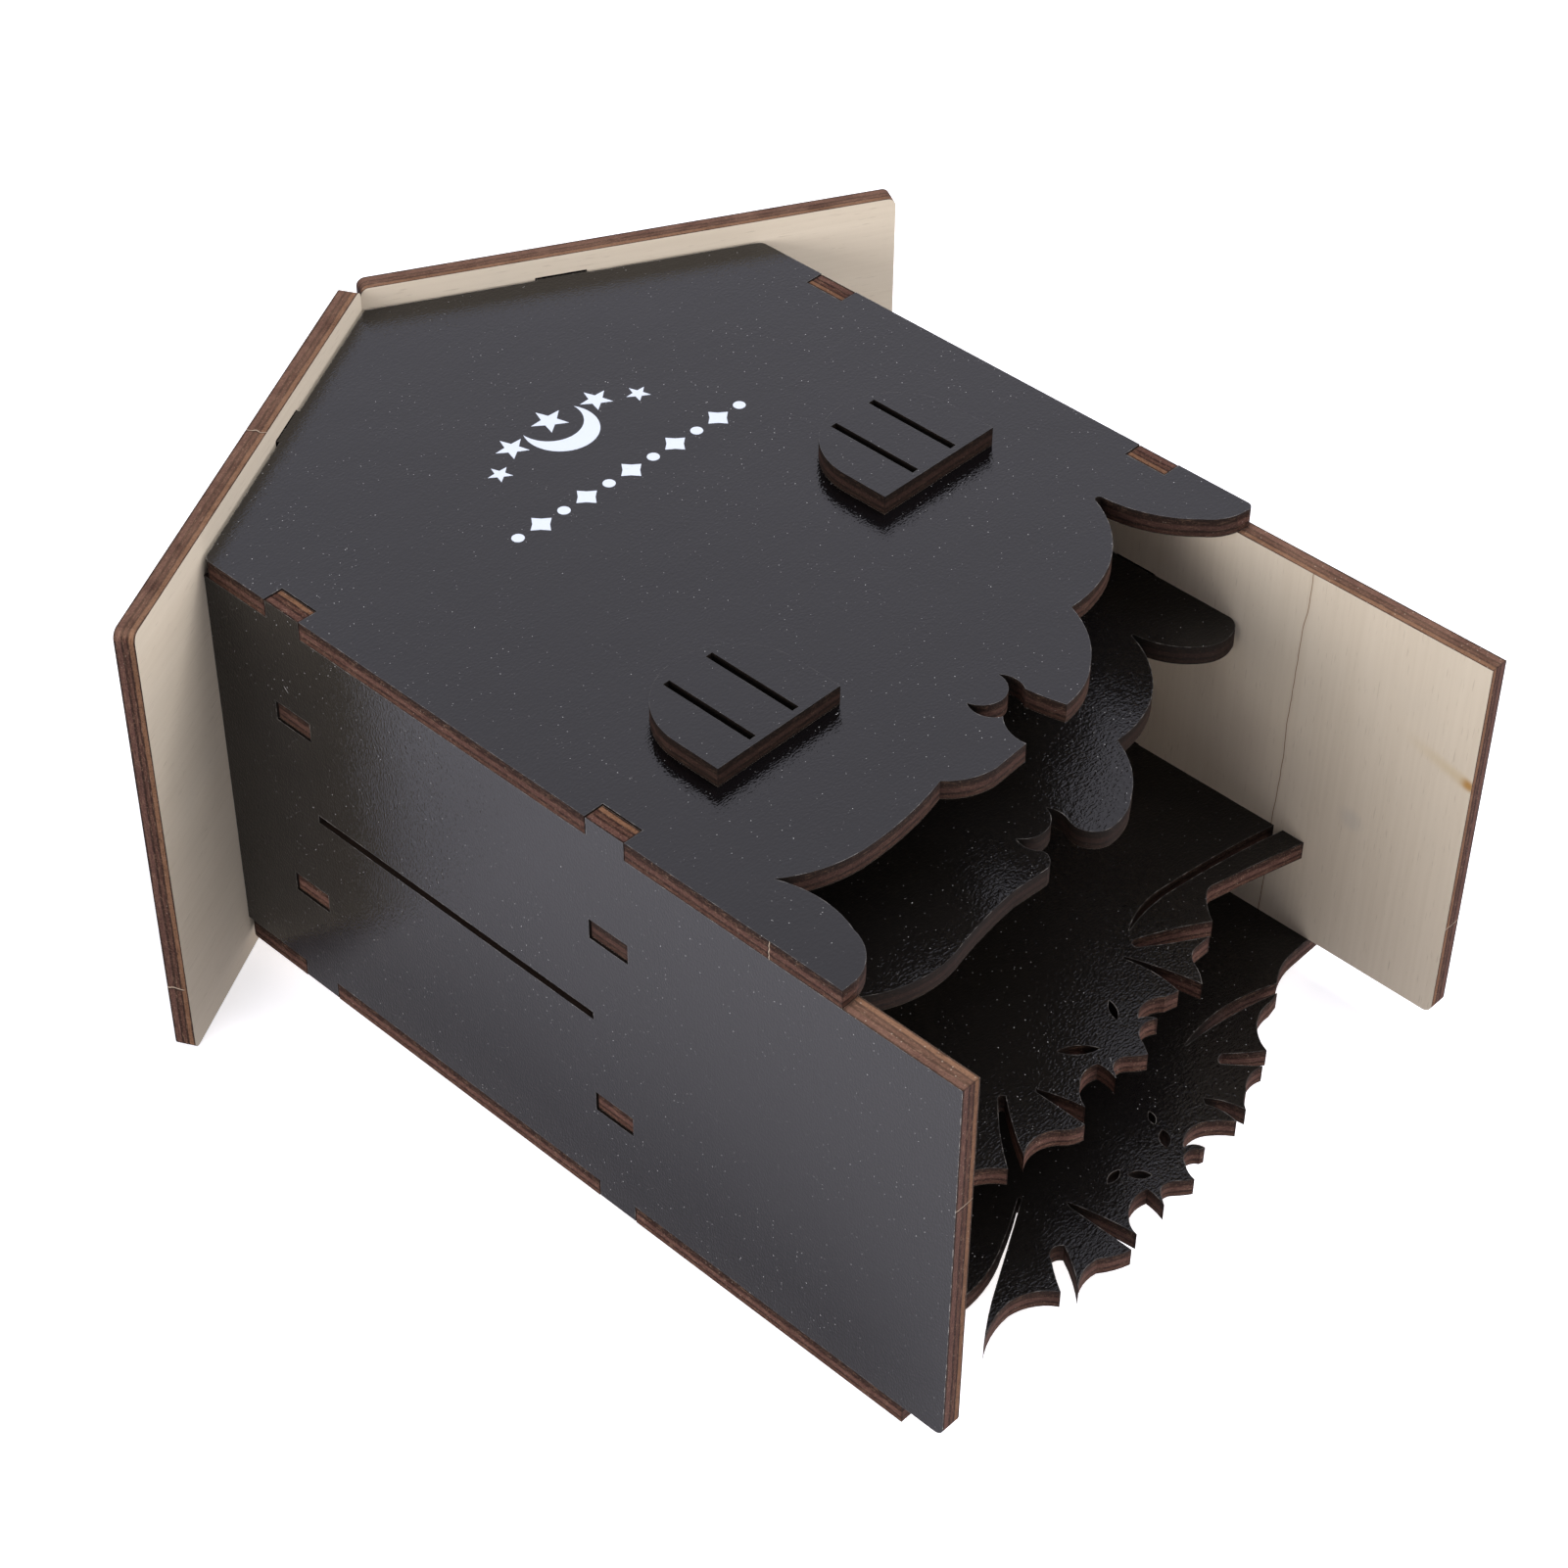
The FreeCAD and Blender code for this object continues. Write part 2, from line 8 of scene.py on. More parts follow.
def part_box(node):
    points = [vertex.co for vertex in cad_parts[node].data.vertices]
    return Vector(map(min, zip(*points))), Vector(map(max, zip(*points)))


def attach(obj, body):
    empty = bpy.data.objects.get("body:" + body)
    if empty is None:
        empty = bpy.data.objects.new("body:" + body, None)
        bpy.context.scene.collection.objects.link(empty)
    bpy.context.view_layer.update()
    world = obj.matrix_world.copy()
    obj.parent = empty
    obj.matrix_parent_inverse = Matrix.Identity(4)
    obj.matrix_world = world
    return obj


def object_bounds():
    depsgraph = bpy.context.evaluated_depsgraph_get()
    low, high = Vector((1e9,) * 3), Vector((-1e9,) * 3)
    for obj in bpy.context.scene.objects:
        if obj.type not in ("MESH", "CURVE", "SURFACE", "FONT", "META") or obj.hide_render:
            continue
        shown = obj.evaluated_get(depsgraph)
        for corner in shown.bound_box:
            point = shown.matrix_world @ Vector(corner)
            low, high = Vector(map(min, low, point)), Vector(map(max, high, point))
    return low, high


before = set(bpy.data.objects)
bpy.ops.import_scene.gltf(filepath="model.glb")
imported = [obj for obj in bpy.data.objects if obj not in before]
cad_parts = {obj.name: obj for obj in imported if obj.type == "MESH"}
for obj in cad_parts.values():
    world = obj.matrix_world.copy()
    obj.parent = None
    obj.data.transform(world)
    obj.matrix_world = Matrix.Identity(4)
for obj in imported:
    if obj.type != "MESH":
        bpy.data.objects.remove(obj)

# Bat box of black-printed plywood lying on its back, seen from below and to the left.
# All lengths are in metres. X runs to the right of the box, Y to its back and Z up to its ridge.

MM = 0.001
RIGHT = Vector((1, 0, 0))
BACK = Vector((0, 1, 0))
UP = Vector((0, 0, 1))

# Sizes, all from the parts in model.glb
cad_low, cad_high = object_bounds()
front_low, front_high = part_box("front_panel")
back_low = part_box("back_panel")[0]
wall_low, wall_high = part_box("left_side")
roof_low, roof_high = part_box("roof_right")
PLY = front_high.y - front_low.y
HALF_WIDTH = -wall_low.x
EAVE_HEIGHT = wall_high.z

# Pitch of the roof, from the height of its underside at the ridge
RIDGE_HEIGHT = roof_high.z - PLY * HALF_WIDTH / math.hypot(HALF_WIDTH, roof_high.z - EAVE_HEIGHT - PLY)
PITCH = math.atan2(RIDGE_HEIGHT - EAVE_HEIGHT, HALF_WIDTH)


# Shader building: rays that the bevel and hollow nodes send out at a point, and the cosines between
# a flat's normal and its bevelled one where a rim begins and where it is in full
BEVEL_SAMPLES = 6
HOLLOW_SAMPLES = 4
RIM_BEGINS = 0.995
RIM_FULL = 0.8


class NodeTree:
    """A tree of shader nodes, with short calls for the nodes that are used again and again."""

    def __init__(self, tree):
        self.nodes = tree.nodes
        self.links = tree.links

    def put(self, socket, value):
        """Links a socket to another node's output, or gives it a plain value."""
        if isinstance(value, bpy.types.NodeSocket):
            self.links.new(value, socket)
        else:
            socket.default_value = value

    def math(self, operation, first, second=0.0):
        """Number that an operation makes of one or two numbers."""
        node = self.nodes.new("ShaderNodeMath")
        node.operation = operation
        self.put(node.inputs[0], first)
        self.put(node.inputs[1], second)
        return node.outputs[0]

    def plus(self, first, second):
        return self.math("ADD", first, second)

    def minus(self, first, second):
        return self.math("SUBTRACT", first, second)

    def times(self, first, second):
        return self.math("MULTIPLY", first, second)

    def larger(self, first, second):
        return self.math("MAXIMUM", first, second)

    def absolute(self, value):
        return self.math("ABSOLUTE", value)

    def vector_math(self, operation, first, second):
        """Number that an operation makes of two vectors."""
        node = self.nodes.new("ShaderNodeVectorMath")
        node.operation = operation
        self.put(node.inputs[0], first)
        self.put(node.inputs[1], second)
        return node.outputs["Value"]


class Look(NodeTree):
    """One material of the box, with short calls for the patterns that the materials share."""

    def __init__(self, name):
        self.material = bpy.data.materials.new(name)
        self.material.use_nodes = True
        super().__init__(self.material.node_tree)
        self.surface = self.nodes["Principled BSDF"]
        self.place = self.nodes.new("ShaderNodeTexCoord").outputs["Object"]

    def dot(self, direction):
        """Distance of the shaded point along a direction."""
        return self.vector_math("DOT_PRODUCT", self.place, direction)

    def distance(self, place):
        """Distance of the shaded point from a place."""
        return self.vector_math("DISTANCE", self.place, place)

    def stretched(self, axes, scales):
        """Coordinates along three axes, each with its own scale per metre."""
        node = self.nodes.new("ShaderNodeCombineXYZ")
        for socket, direction, scale in zip(node.inputs, axes, scales):
            self.put(socket, self.dot(direction * scale))
        return node.outputs[0]

    def noise(self, vector, scale=1.0, detail=3.0, roughness=0.55, seed=0.0):
        """Soft random pattern between 0 and 1."""
        node = self.nodes.new("ShaderNodeTexNoise")
        node.noise_dimensions = "4D"
        self.put(node.inputs["Vector"], vector)
        self.put(node.inputs["W"], seed)
        self.put(node.inputs["Scale"], scale)
        self.put(node.inputs["Detail"], detail)
        self.put(node.inputs["Roughness"], roughness)
        return node.outputs["Fac"]

    def specks(self, vector, scale, reach, chance):
        """Spots at random points. reach says how far they fade out, chance how many points have one."""
        node = self.nodes.new("ShaderNodeTexVoronoi")
        self.put(node.inputs["Vector"], vector)
        self.put(node.inputs["Scale"], scale)
        spot = self.step(node.outputs["Distance"], *reach)
        return self.times(spot, self.step(node.outputs["Color"], *chance))

    def step(self, value, low, high):
        """0 below low, 1 above high, smooth between. It falls where low is above high."""
        node = self.nodes.new("ShaderNodeMapRange")
        node.interpolation_type = "SMOOTHSTEP"
        start, end, rises = (low, high, True) if low < high else (high, low, False)
        self.put(node.inputs["Value"], value)
        self.put(node.inputs["From Min"], start)
        self.put(node.inputs["From Max"], end)
        self.put(node.inputs["To Min"], 0.0 if rises else 1.0)
        self.put(node.inputs["To Max"], 1.0 if rises else 0.0)
        return node.outputs["Result"]

    def ramp(self, value, stops):
        """Colour read off a list of (position, colour) stops."""
        node = self.nodes.new("ShaderNodeValToRGB")
        elements = node.color_ramp.elements
        while len(elements) < len(stops):
            elements.new(0.5)
        for element, (position, colour) in zip(elements, stops):
            element.position = position
            element.color = colour + (1.0,)
        self.put(node.inputs["Fac"], value)
        return node.outputs["Color"]

    def mix(self, share, first, second):
        """The first colour where share is 0 and the second where it is 1."""
        node = self.nodes.new("ShaderNodeMix")
        node.data_type = "RGBA"
        self.put(node.inputs["Factor"], share)
        colour_inputs = [socket for socket in node.inputs if socket.type == "RGBA"]
        for socket, value in zip(colour_inputs, (first, second)):
            self.put(socket, value + (1.0,) if isinstance(value, tuple) else value)
        return [socket for socket in node.outputs if socket.type == "RGBA"][0]

    def bump(self, height, distance, normal=None):
        """Relief of a height between 0 and 1 that stands for a distance, over an earlier relief."""
        node = self.nodes.new("ShaderNodeBump")
        self.put(node.inputs["Height"], height)
        self.put(node.inputs["Distance"], distance)
        if normal is not None:
            self.put(node.inputs["Normal"], normal)
        return node.outputs["Normal"]

    def edge_share(self, radius):
        """1 on the sharp rims of a panel and 0 on its flats."""
        bevel = self.nodes.new("ShaderNodeBevel")
        bevel.samples = BEVEL_SAMPLES
        self.put(bevel.inputs["Radius"], radius)
        flat = self.nodes.new("ShaderNodeNewGeometry").outputs["Normal"]
        leaning = self.vector_math("DOT_PRODUCT", bevel.outputs["Normal"], flat)
        return self.step(leaning, RIM_BEGINS, RIM_FULL)

    def finish(self, colour, roughness, normal, specular):
        """Joins the looks to the surface and hands over the material."""
        self.put(self.surface.inputs["Base Color"], colour)
        self.put(self.surface.inputs["Roughness"], roughness)
        self.put(self.surface.inputs["Normal"], normal)
        self.put(self.surface.inputs["Specular IOR Level"], specular)
        return self.material


# Colours, as linear values
INK = (0.0020, 0.0018, 0.0021)
WIPED_INK = (INK[0] * 1.5, INK[1] * 1.5, INK[2] * 1.6)
DUST = (0.74, 0.73, 0.74)
CHIPPED = (0.55, 0.51, 0.48)
BARE = (0.70, 0.605, 0.490)
BARE_DARK = (0.625, 0.530, 0.418)
BARE_GREY = (0.62, 0.548, 0.452)
PORE = (0.40, 0.32, 0.24)
KNOT = (0.56, 0.42, 0.22)
KNOT_HEART = (0.44, 0.235, 0.070)
CRACK = (0.24, 0.135, 0.070)
BLOTCH = (0.36, 0.36, 0.37)
BURNT = (0.016, 0.009, 0.007)
# The soot colour also serves as painted shade in the hollows and gaps of the cut edges
SOOT_AND_SHADE = (0.006, 0.005, 0.004)
VENEER_EDGE = (0.100, 0.048, 0.038)
MIDDLE_EDGE = (0.078, 0.036, 0.026)
BARE_VENEER_EDGE = (0.175, 0.088, 0.050)
VENEER_EDGE_PALE = (0.26, 0.155, 0.105)
CORE_EDGE = (0.026, 0.012, 0.009)
PALE_EDGE = (0.42, 0.33, 0.26)
FILM = (0.48, 0.29, 0.20)
SPLINTER = (0.44, 0.35, 0.27)
PRINT = (0.72, 0.775, 0.90)
PRINT_CLOUD = (0.66, 0.71, 0.83)
PRINT_WORN = (0.33, 0.35, 0.40)

# Scales of the patterns on a panel's faces, per metre: along the grain, across it and through the ply
EVEN = (1.0, 1.0, 1.0)
RIPPLES = (60.0, 420.0, 420.0)
WIPES = (9.0, 22.0, 22.0)
LINT = (18.0, 160.0, 160.0)
FIBRES = (22.0, 900.0, 900.0)
BANDS = (4.0, 60.0, 60.0)
PORES = (190.0, 2600.0, 2600.0)

# Scales of the patterns on a panel's edges, per metre: through the ply and in its plane
EDGE_WANDER = (60.0, 60.0, 60.0)
EDGE_STREAKS = (3000.0, 420.0, 420.0)

# Wrinkles of the print: how many there are in a metre, how deep they are, and how much the print shines
OUTER_WRINKLES = (2100.0, 0.095 * MM, 0.56)
PEBBLED_WRINKLES = (1750.0, 0.17 * MM, 0.47)
WRINKLE_STRETCH = 0.55


# Printed faces
def printed_face(name, axes, seed, wear, pebbled):
    """Glossy black print, wrinkled along the grain, with dust, lint, wipe marks and chipped rims.

    The print inside the box is pebbled: its wrinkles are coarser and deeper, and it shines less.
    """
    look = Look(name)
    fineness, depth, gloss = PEBBLED_WRINKLES if pebbled else OUTER_WRINKLES
    rim = look.edge_share((0.30 + 0.50 * wear) * MM)
    dust = dust_share(look, axes, seed)
    wiped = look.step(look.noise(look.stretched(axes, WIPES), detail=4.0, seed=seed + 3.0), 0.40, 0.75)
    colour = look.mix(wiped, INK, WIPED_INK)
    colour = look.mix(look.times(dust, 0.80), colour, DUST)
    colour = look.mix(chipped_share(look, axes, seed, wear, rim), colour, CHIPPED)
    matt = look.times(look.larger(rim, dust), 0.35)
    roughness = look.plus(look.times(wiped, 0.06), look.plus(0.07, matt))
    return look.finish(colour, roughness, print_relief(look, axes, seed, fineness, depth), specular=gloss)


def print_relief(look, axes, seed, fineness, depth):
    """Wide waves, ripples along the grain and fine wrinkles, each over the one before."""
    waves = look.noise(look.stretched(axes, EVEN), scale=45.0, detail=1.0, seed=seed)
    ripples = look.noise(look.stretched(axes, RIPPLES), detail=2.0, seed=seed)
    scales = (fineness * WRINKLE_STRETCH, fineness, fineness)
    wrinkles = look.noise(look.stretched(axes, scales), detail=1.0, seed=seed)
    normal = look.bump(waves, 0.20 * MM)
    normal = look.bump(ripples, 0.035 * MM, normal)
    return look.bump(wrinkles, depth, normal)


def dust_share(look, axes, seed):
    """1 on specks, lint and the small specks of dusty patches, and 0 between them."""
    grain, across, outward = axes
    even = look.stretched(axes, EVEN)
    specks = look.specks(even, 400.0, reach=(0.055, 0.030), chance=(0.70, 0.86))
    small_specks = look.specks(even, 720.0, reach=(0.120, 0.055), chance=(0.28, 0.80))
    patches = look.step(look.noise(even, scale=26.0, detail=2.0, seed=seed + 7.0), 0.38, 0.62)
    small_specks = look.times(small_specks, look.plus(look.times(patches, 0.60), 0.15))
    slanted = look.stretched((grain + across, across - grain, outward), LINT)
    lint = look.specks(slanted, 1.0, reach=(0.030, 0.012), chance=(0.74, 0.78))
    return look.math("MINIMUM", look.plus(specks, look.plus(small_specks, lint)), 1.0)


def chipped_share(look, axes, seed, wear, rim):
    """How much of the print is chipped off: only on the rims, and most at the feet of the walls."""
    crumbs = look.noise(look.stretched(axes, EVEN), scale=420.0, detail=3.0, seed=seed + 5.0)
    foot = look.step(look.dot(UP), cad_low.z + 2.0 * MM, cad_low.z + 1.0 * MM)
    chipped = look.times(look.step(crumbs, 0.46, 0.62), look.plus(look.times(foot, 0.6), wear))
    return look.times(rim, look.plus(chipped, wear * 0.2))


# Bare faces
def bare_face(name, axes, seed, marks):
    """Pale unprinted veneer with fine straight grain. marks adds a panel's own blemishes, if any."""
    look = Look(name)
    fibres = look.noise(look.stretched(axes, FIBRES), detail=4.0, seed=seed)
    bands = look.noise(look.stretched(axes, BANDS), detail=3.0, seed=seed)
    clouds = look.noise(look.stretched(axes, EVEN), scale=24.0, detail=3.0, seed=seed)
    pores = look.noise(look.stretched(axes, PORES), detail=1.0, seed=seed)
    fibre_shade = look.times(look.step(fibres, 0.30, 0.75), 0.45)
    band_shade = look.times(look.step(bands, 0.40, 0.75), 0.35)
    colour = look.mix(look.plus(fibre_shade, band_shade), BARE, BARE_DARK)
    colour = look.mix(look.times(look.step(clouds, 0.42, 0.72), 0.45), colour, BARE_GREY)
    colour = look.mix(look.times(look.step(pores, 0.64, 0.76), 0.40), colour, PORE)
    colour = look.mix(look.times(look.edge_share(0.22 * MM), 0.30), colour, PALE_EDGE)
    if marks is not None:
        colour = marks(look, colour)
    height = look.plus(fibres, look.times(pores, 0.5))
    return look.finish(colour, 0.62, look.bump(height, 0.05 * MM), specular=0.30)


# Blemishes of the right wall's bare face, as (y, z) places on it. The crack drifts to either side of
# its line, with bends along it that are counted per metre.
CRACK_START = Vector((-57.0 * MM, 48.2 * MM))
CRACK_END = Vector((57.0 * MM, 50.8 * MM))
CRACK_BENDS = (26.0, 0.0, 0.0)
CRACK_DRIFT = 5.0 * MM
KNOT_PLACE = Vector((-18.7 * MM, 0.8 * MM))
KNOT_STREAK_END = Vector((-24.2 * MM, 22.0 * MM))
BLOTCH_PLACE = Vector((9.3 * MM, 29.1 * MM))


def wall_marks(look, colour):
    """Blemishes of the right wall."""
    return wall_blotch(look, wall_knot(look, wall_crack(look, colour)))


def along_line(look, start, end):
    """Distance along a line on a side wall from its start, and distance to either side of it."""
    direction = (end - start).normalized()
    square = Vector((-direction.y, direction.x))
    ahead = look.minus(look.dot((0, direction.x, direction.y)), direction.dot(start))
    aside = look.minus(look.dot((0, square.x, square.y)), square.dot(start))
    return ahead, look.absolute(aside)


def wall_crack(look, colour):
    """Wandering hair crack across the wall, with a faint dark border."""
    wander = look.noise(look.stretched((BACK, RIGHT, UP), CRACK_BENDS), detail=3.0, seed=8.0)
    drift = look.times(look.minus(wander, 0.5), CRACK_DRIFT)
    ahead = along_line(look, CRACK_START, CRACK_END)[0]
    rise = (CRACK_END.y - CRACK_START.y) / (CRACK_END.x - CRACK_START.x)
    height = look.plus(drift, look.plus(CRACK_START.y, look.times(ahead, rise)))
    off_line = look.absolute(look.minus(look.dot(UP), height))
    broken = look.step(look.noise(look.place, scale=420.0, detail=2.0), 0.28, 0.42)
    colour = look.mix(look.times(look.step(off_line, 1.0 * MM, 0.1 * MM), 0.14), colour, PORE)
    return look.mix(look.times(look.step(off_line, 0.16 * MM, 0.05 * MM), broken), colour, CRACK)


def wall_knot(look, colour):
    """Amber knot at the wall's lower edge, with a faint yellow streak that starts there."""
    ahead, aside = along_line(look, KNOT_PLACE, KNOT_STREAK_END)
    streak_length = (KNOT_STREAK_END - KNOT_PLACE).length
    streak = look.times(look.step(aside, 2.8 * MM, 0.0), look.step(ahead, streak_length, 2.0 * MM))
    streak = look.times(streak, look.step(ahead, -0.6 * MM, 0.4 * MM))
    heart = look.times(look.step(aside, 2.2 * MM, 0.3 * MM),
                       look.step(look.absolute(ahead), 3.0 * MM, 0.3 * MM))
    colour = look.mix(look.times(streak, 0.50), colour, KNOT)
    return look.mix(look.times(heart, 0.95), colour, KNOT_HEART)


def wall_blotch(look, colour):
    """Faint round grey blotch."""
    from_blotch = look.distance((HALF_WIDTH - PLY, BLOTCH_PLACE.x, BLOTCH_PLACE.y))
    return look.mix(look.times(look.step(from_blotch, 4.5 * MM, 1.0 * MM), 0.22), colour, BLOTCH)


# Layers of a cut edge from the printed face to the bare one: wide veneers on the walls and the roof,
# and a deep scorched band under the print on the panels that face the front
WALL_LAYERS = [
    (0.00, BURNT), (0.06, BURNT), (0.12, VENEER_EDGE), (0.32, VENEER_EDGE), (0.37, CORE_EDGE),
    (0.44, CORE_EDGE), (0.49, MIDDLE_EDGE), (0.60, MIDDLE_EDGE), (0.64, CORE_EDGE), (0.70, CORE_EDGE),
    (0.75, BARE_VENEER_EDGE), (0.91, BARE_VENEER_EDGE), (0.96, BURNT)]
FRONT_LAYERS = [
    (0.00, BURNT), (0.12, BURNT), (0.18, CORE_EDGE), (0.34, CORE_EDGE), (0.44, VENEER_EDGE),
    (0.62, VENEER_EDGE), (0.68, CORE_EDGE), (0.74, CORE_EDGE), (0.80, MIDDLE_EDGE),
    (0.92, MIDDLE_EDGE), (0.97, BURNT)]


# Cut edges
def cut_edge(name, outward, printed_plane, seed, layers, sooty, splits):
    """Laser-cut edge of three brown veneers between dark glue lines, read off by the depth under the
    print as a share of the ply. sooty is the share of black from the laser.
    """
    look = Look(name)
    side = outward.orthogonal().normalized()
    axes = (outward, side, outward.cross(side))
    wander = look.noise(look.stretched(axes, EDGE_WANDER), detail=2.0, seed=seed)
    depth = look.math("DIVIDE", look.minus(printed_plane, look.dot(outward)), PLY)
    depth = look.plus(depth, look.times(look.minus(wander, 0.5), 0.14))
    streaks = look.noise(look.stretched(axes, EDGE_STREAKS), detail=3.0, seed=seed)
    scorch = look.noise(look.place, scale=110.0, detail=3.0, seed=seed)
    colour = edge_fibres(look, look.ramp(depth, layers), streaks, seed)
    colour = look.mix(look.times(look.step(scorch, 0.45, 0.75), 0.35), colour, CORE_EDGE)
    colour = edge_soot_and_shade(look, edge_dust(look, colour, scorch), sooty)
    bare_rim = look.times(look.edge_share(0.12 * MM), look.step(depth, 0.86, 0.94))
    colour = look.mix(look.times(bare_rim, 0.50), colour, PALE_EDGE)
    for place, direction in splits:
        colour = edge_split(look, colour, place, direction)
    height = look.plus(look.times(streaks, 0.7), look.times(scorch, 0.5))
    return look.finish(colour, 0.72, look.bump(height, 0.10 * MM), specular=0.12)


def edge_fibres(look, colour, streaks, seed):
    """Pale and burnt streaks along the edge, and the same in the fine ends of the fibres."""
    colour = look.mix(look.times(look.step(streaks, 0.52, 0.72), 0.50), colour, VENEER_EDGE_PALE)
    colour = look.mix(look.times(look.step(streaks, 0.46, 0.28), 0.60), colour, BURNT)
    fibre_ends = look.noise(look.place, scale=2300.0, detail=2.0, roughness=0.7, seed=seed)
    colour = look.mix(look.times(look.step(fibre_ends, 0.54, 0.68), 0.35), colour, VENEER_EDGE_PALE)
    return look.mix(look.times(look.step(fibre_ends, 0.48, 0.34), 0.50), colour, BURNT)


def edge_dust(look, colour, scorch):
    """Pale grit, and a pale film between the scorch marks of edges that look to the front.

    Such edges hold more grit too. The ends of the tabs in the front have no film.
    """
    normal = look.nodes.new("ShaderNodeNewGeometry").outputs["True Normal"]
    faces_front = look.step(look.vector_math("DOT_PRODUCT", normal, -BACK), 0.3, 0.9)
    off_tab_ends = look.absolute(look.minus(look.dot(BACK), front_low.y))
    film = look.times(faces_front, look.step(scorch, 0.85, 0.30))
    film = look.times(film, look.step(off_tab_ends, 1.0 * MM, 1.5 * MM))
    grit = look.specks(look.place, 900.0, reach=(0.20, 0.08), chance=(0.62, 0.80))
    colour = look.mix(look.times(film, 0.18), colour, FILM)
    return look.mix(look.times(grit, look.plus(0.40, look.times(faces_front, 0.35))), colour, PALE_EDGE)


def edge_soot_and_shade(look, colour, sooty):
    """Soot and painted shade in hollows and gaps, burnt rims, and an even share of soot over it all."""
    hollow = look.nodes.new("ShaderNodeAmbientOcclusion")
    hollow.samples = HOLLOW_SAMPLES
    look.put(hollow.inputs["Distance"], 3.0 * MM)
    # Painted shade as well as soot: darker where the edge is closed in, in slots, hollows and gaps
    # between parts
    colour = look.mix(look.times(look.step(hollow.outputs["AO"], 0.80, 0.45), 0.90), colour, SOOT_AND_SHADE)
    colour = look.mix(look.times(look.edge_share(0.80 * MM), 0.75), colour, BURNT)
    return look.mix(sooty, colour, SOOT_AND_SHADE)


def edge_split(look, colour, place, direction):
    """Short pale split across an edge, where a fibre of the veneer tore."""
    wobble = look.times(look.minus(look.noise(look.place, scale=420.0, detail=1.0), 0.5), 1.6 * MM)
    off_line = look.minus(look.plus(look.dot(direction), wobble), direction.dot(place))
    line = look.step(look.absolute(off_line), 0.15 * MM, 0.05 * MM)
    beside = look.step(look.absolute(look.minus(off_line, 0.30 * MM)), 0.24 * MM, 0.10 * MM)
    here = look.step(look.distance(place), 4.5 * MM, 3.8 * MM)
    colour = look.mix(look.times(look.times(beside, here), 0.6), colour, BURNT)
    return look.mix(look.times(look.times(line, here), 0.9), colour, SPLINTER)


# Panels: which way each one's printed face looks, how its grain runs, how worn its rims are and how
# sooty the laser left its outer edges and its inner ones
RIGHT_SLOPE = Vector((math.cos(PITCH), 0, -math.sin(PITCH)))
LEFT_SLOPE = Vector((-math.cos(PITCH), 0, -math.sin(PITCH)))
RIGHT_ROOF_OUT = Vector((math.sin(PITCH), 0, math.cos(PITCH)))
LEFT_ROOF_OUT = Vector((-math.sin(PITCH), 0, math.cos(PITCH)))

PANELS = {
    "front_panel": (-BACK, RIGHT, 0.30, 0.20, 0.55),
    "back_panel": (-BACK, RIGHT, 0.30, 0.05, 0.15),
    "front_baffle": (-BACK, RIGHT, 0.30, 0.50, 0.85),
    "rear_baffle": (-BACK, RIGHT, 0.30, 0.15, 0.0),
    "left_window": (-BACK, RIGHT, 0.10, 0.75, 0.75),
    "right_window": (-BACK, RIGHT, 0.10, 0.75, 0.75),
    "left_side": (-RIGHT, BACK, 0.30, 0.0, 0.85),
    "right_side": (RIGHT, BACK, 0.30, 0.0, 0.85),
    "roof_left": (LEFT_ROOF_OUT, LEFT_SLOPE, 0.40, 0.0, 0.20),
    "roof_right": (RIGHT_ROOF_OUT, RIGHT_SLOPE, 0.40, 0.0, 0.20),
}

INNER_PANELS = ("back_panel", "front_baffle", "rear_baffle")

# Small splits in the edges: a place on the edge and the direction that the edge runs in
ROOF_FRONT_SPLIT = Vector((-54.0 * MM, roof_low.y, 244.6 * MM))
ROOF_EAVE_SPLIT = Vector((cad_low.x, 43.0 * MM, roof_low.z + PLY * math.cos(PITCH)))
LEFT_FOOT_SPLIT = Vector((wall_low.x + PLY / 2, -18.0 * MM, 0))
RIGHT_FOOT_SPLIT = Vector((HALF_WIDTH - PLY / 2, 25.0 * MM, 0))
FRONT_SIDE_SPLIT = Vector((front_low.x, front_low.y + PLY / 2, 50.4 * MM))

SPLITS = {
    "roof_left": [(ROOF_FRONT_SPLIT, LEFT_SLOPE), (ROOF_EAVE_SPLIT, BACK)],
    "left_side": [(LEFT_FOOT_SPLIT, BACK)],
    "right_side": [(RIGHT_FOOT_SPLIT, BACK)],
    "front_panel": [(FRONT_SIDE_SPLIT, UP)],
}

# Material slots of a panel, in the order that dress_panel fills them
PRINTED_SLOT, BARE_SLOT, OUTER_EDGE_SLOT, INNER_EDGE_SLOT = range(4)
FLAT_FACING = 0.9


def is_inner_edge(polygon, outward):
    """True for a hem, an eave, a hole or a slot, and false for an edge at a corner of the box."""
    if outward == -BACK:
        return abs(polygon.center.x) < HALF_WIDTH - PLY
    return abs(polygon.center.y) < back_low.y - PLY and PLY < polygon.center.z < EAVE_HEIGHT - PLY


def slot_of(polygon, outward):
    """Material slot of a polygon, by the way it looks and by its place."""
    facing = polygon.normal.dot(outward)
    if facing > FLAT_FACING:
        return PRINTED_SLOT
    if facing < -FLAT_FACING:
        return BARE_SLOT
    return INNER_EDGE_SLOT if is_inner_edge(polygon, outward) else OUTER_EDGE_SLOT


